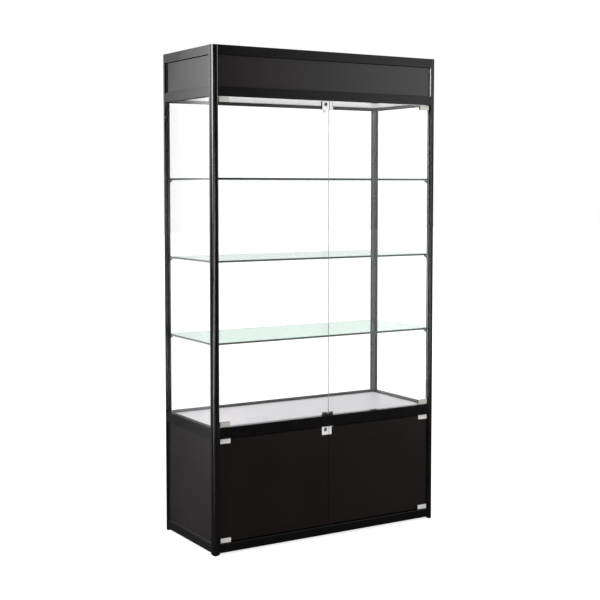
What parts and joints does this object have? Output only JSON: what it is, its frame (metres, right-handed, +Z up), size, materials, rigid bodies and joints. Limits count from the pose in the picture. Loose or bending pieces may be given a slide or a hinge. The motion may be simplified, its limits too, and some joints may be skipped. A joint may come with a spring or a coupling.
{
  "type": "glazed display case with lower cabinet",
  "caption": "Tall free-standing showcase: black framed glass display zone with glass shelves, boxed header and a locking lower cabinet behind hinged doors.",
  "frame": {"origin": "on the floor under the middle of the case", "axes": "+Z up, +X to the right as seen from the front, the glass doors face -Y"},
  "size_m": [1.07, 0.45, 1.98],
  "materials": {
    "black_frame": "satin black anodised extrusion, slightly glossy, bright along its rounded corner",
    "black_board": "black melamine faced board, satin with a fine print grain",
    "black_door": "thin black laminated door board, satin, slightly warm",
    "white_board": "white melamine faced board, satin",
    "clear_glass": "clear float glass with ground edges",
    "shelf_glass": "clear tempered glass with green polished edges",
    "satin_steel": "satin nickel plated die casting",
    "plug_steel": "bright nickel plated lock plug with a dark keyway",
    "strip_metal": "grey slotted shelf strip",
    "black_plastic": "matt black moulded plastic"
  },
  "bodies": {
    "root": {"post_front_left": "black_frame", "post_front_right": "black_frame", "post_back_left": "black_frame", "post_back_right": "black_frame", "base_rail_front": "black_frame", "base_rail_right": "black_frame", "base_rail_back": "black_frame", "base_rail_left": "black_frame", "deck_rail_front": "black_frame", "deck_rail_right": "black_frame", "deck_rail_back": "black_frame", "deck_rail_left": "black_frame", "header_rail_front": "black_frame", "header_rail_right": "black_frame", "header_rail_back": "black_frame", "header_rail_left": "black_frame", "top_rail_front": "black_frame", "top_rail_right": "black_frame", "top_rail_back": "black_frame", "top_rail_left": "black_frame", "header_panel_front": "black_board", "header_panel_right": "black_board", "header_panel_back": "black_board", "header_panel_left": "black_board", "glass_pane_right": "clear_glass", "cabinet_panel_right": "black_board", "glass_pane_back": "clear_glass", "cabinet_panel_back": "black_board", "glass_pane_left": "clear_glass", "cabinet_panel_left": "black_board", "cabinet_floor": "black_board", "deck_panel": "white_board", "ceiling_panel": "white_board", "top_cover": "black_board", "glass_shelf_lower": "shelf_glass", "glass_shelf_middle": "shelf_glass", "glass_shelf_upper": "shelf_glass", "shelf_strip_front_left": "strip_metal", "shelf_strip_front_right": "strip_metal", "shelf_strip_back_left": "strip_metal", "shelf_strip_back_right": "strip_metal", "door_stop": "black_plastic"},
    "glass_door_left": {"glass_door_left": "clear_glass", "glass_hinge_lower_left": "satin_steel", "glass_hinge_upper_left": "satin_steel", "glass_lock_case": "satin_steel"},
    "glass_door_right": {"glass_door_right": "clear_glass", "glass_hinge_lower_right": "satin_steel", "glass_hinge_upper_right": "satin_steel", "glass_lock_strike": "satin_steel"},
    "glass_lock_plug": {"glass_lock_plug": "plug_steel"},
    "cabinet_door_left": {"cabinet_door_left": "black_door", "cabinet_hinge_lower_left": "satin_steel", "cabinet_hinge_upper_left": "satin_steel", "cabinet_lock_case": "satin_steel"},
    "cabinet_door_right": {"cabinet_door_right": "black_door", "cabinet_hinge_lower_right": "satin_steel", "cabinet_hinge_upper_right": "satin_steel", "cabinet_lock_strike": "satin_steel"},
    "cabinet_lock_plug": {"cabinet_lock_plug": "plug_steel"}
  },
  "joints": [
    {"name": "glass_door_left_swing", "type": "hinge", "parent": "root", "child": "glass_door_left", "pos_m": [-0.497, -0.2125, 1.144], "axis": [0, 0, -1], "range_deg": [0, 100]},
    {"name": "glass_door_right_swing", "type": "hinge", "parent": "root", "child": "glass_door_right", "pos_m": [0.497, -0.2125, 1.144], "axis": [0, 0, 1], "range_deg": [0, 100]},
    {"name": "glass_lock_turn", "type": "hinge", "parent": "glass_door_left", "child": "glass_lock_plug", "pos_m": [-0.0175, -0.2125, 1.7705], "axis": [0, -1, 0], "range_deg": [0, 90]},
    {"name": "cabinet_door_left_swing", "type": "hinge", "parent": "root", "child": "cabinet_door_left", "pos_m": [-0.497, -0.2125, 0.2525], "axis": [0, 0, -1], "range_deg": [0, 100]},
    {"name": "cabinet_door_right_swing", "type": "hinge", "parent": "root", "child": "cabinet_door_right", "pos_m": [0.497, -0.2125, 0.2525], "axis": [0, 0, 1], "range_deg": [0, 100]},
    {"name": "cabinet_lock_turn", "type": "hinge", "parent": "cabinet_door_left", "child": "cabinet_lock_plug", "pos_m": [-0.0175, -0.2125, 0.4465], "axis": [0, -1, 0], "range_deg": [0, 90]}
  ]
}
